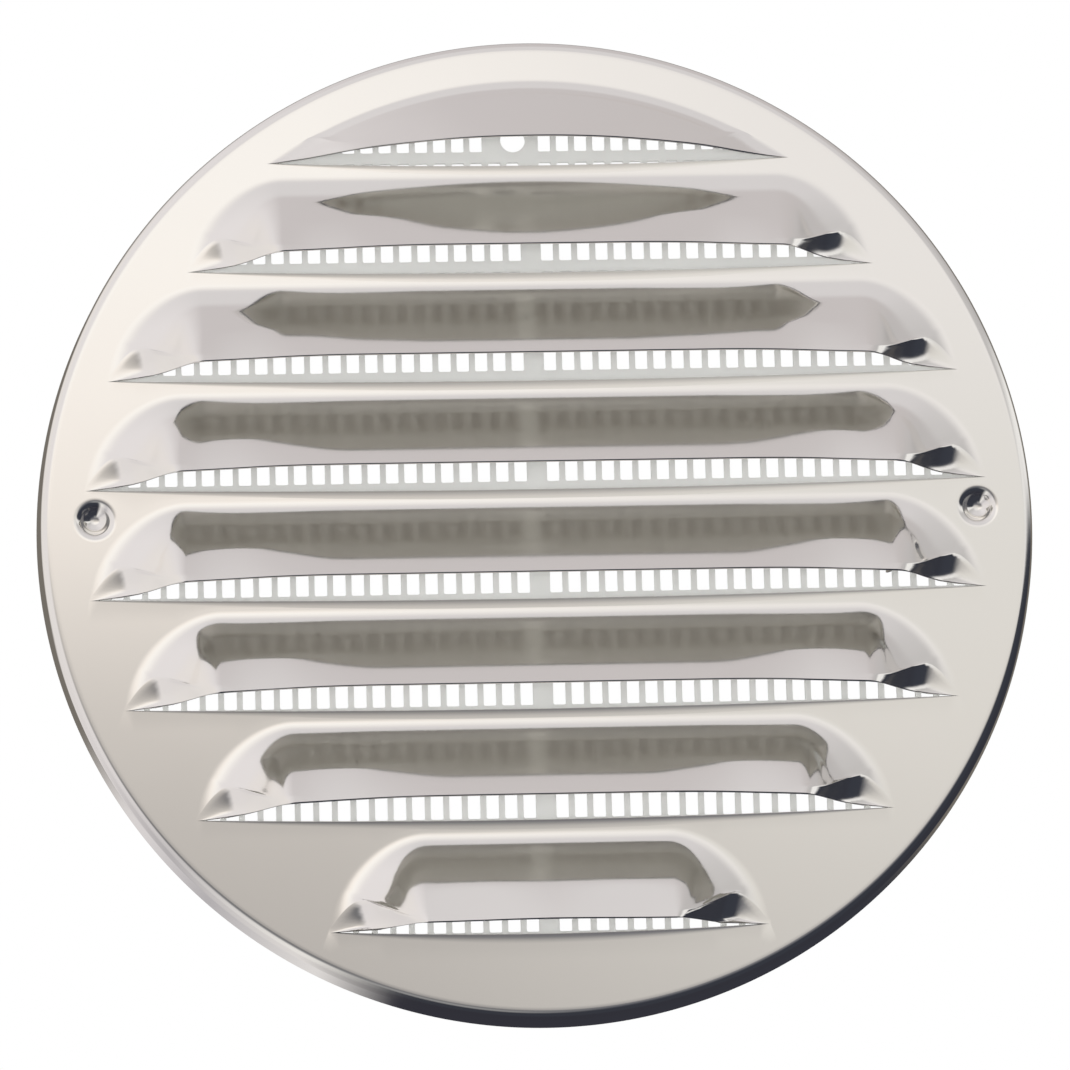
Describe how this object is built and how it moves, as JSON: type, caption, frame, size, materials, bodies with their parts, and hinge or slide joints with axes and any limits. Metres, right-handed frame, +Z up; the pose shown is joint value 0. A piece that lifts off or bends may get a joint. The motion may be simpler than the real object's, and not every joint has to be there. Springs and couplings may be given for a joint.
{
  "type": "exhaust vent grille",
  "caption": "Round wall vent grille of pressed metal with downward louvres, an insect screen behind it and leaf springs that hold it in a duct.",
  "frame": {"origin": "centre of the duct's mouth, in the plane of the wall that the rim rests on", "axes": "+Y into the duct, -Y out of the face, +Z up, +X to the right seen from the front"},
  "size_m": [0.2, 0.0579, 0.2],
  "materials": {
    "cover_steel": "bright rolled stainless steel",
    "screen_plastic": "matte moulded light grey",
    "spring_steel": "rolled spring strip"
  },
  "bodies": {
    "root": {"louvre_cover": "cover_steel", "insect_screen": "screen_plastic", "left_spring_clip": "spring_steel", "right_spring_clip": "spring_steel"}
  },
  "joints": []
}
